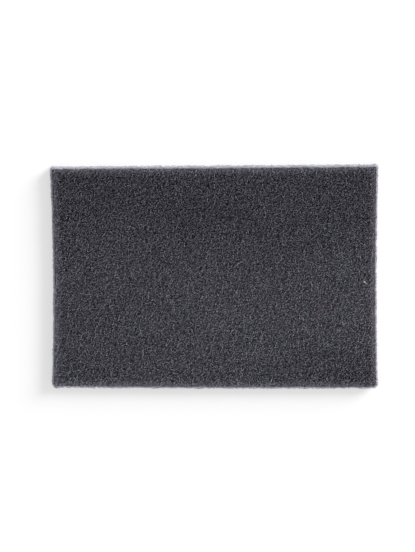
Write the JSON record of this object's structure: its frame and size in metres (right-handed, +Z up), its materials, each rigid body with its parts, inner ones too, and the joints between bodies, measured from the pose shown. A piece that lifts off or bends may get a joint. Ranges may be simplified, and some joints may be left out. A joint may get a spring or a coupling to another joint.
{
  "type": "abrasive hand pad",
  "caption": "Flat rectangular hand pad of coated nonwoven fibre web, for rubbing down and cleaning surfaces by hand.",
  "frame": {"origin": "middle of the pad's box, on the lower face that it lies on", "axes": "+X along the length towards the wider end, +Y across the width towards the back edge, +Z up through the thickness"},
  "size_m": [0.225, 0.1592, 0.0064],
  "materials": {
    "coated_web": "matt, open fibre web with a dark grit coat, paler where it is cut"
  },
  "bodies": {
    "root": {"abrasive_pad": "coated_web"}
  },
  "joints": []
}
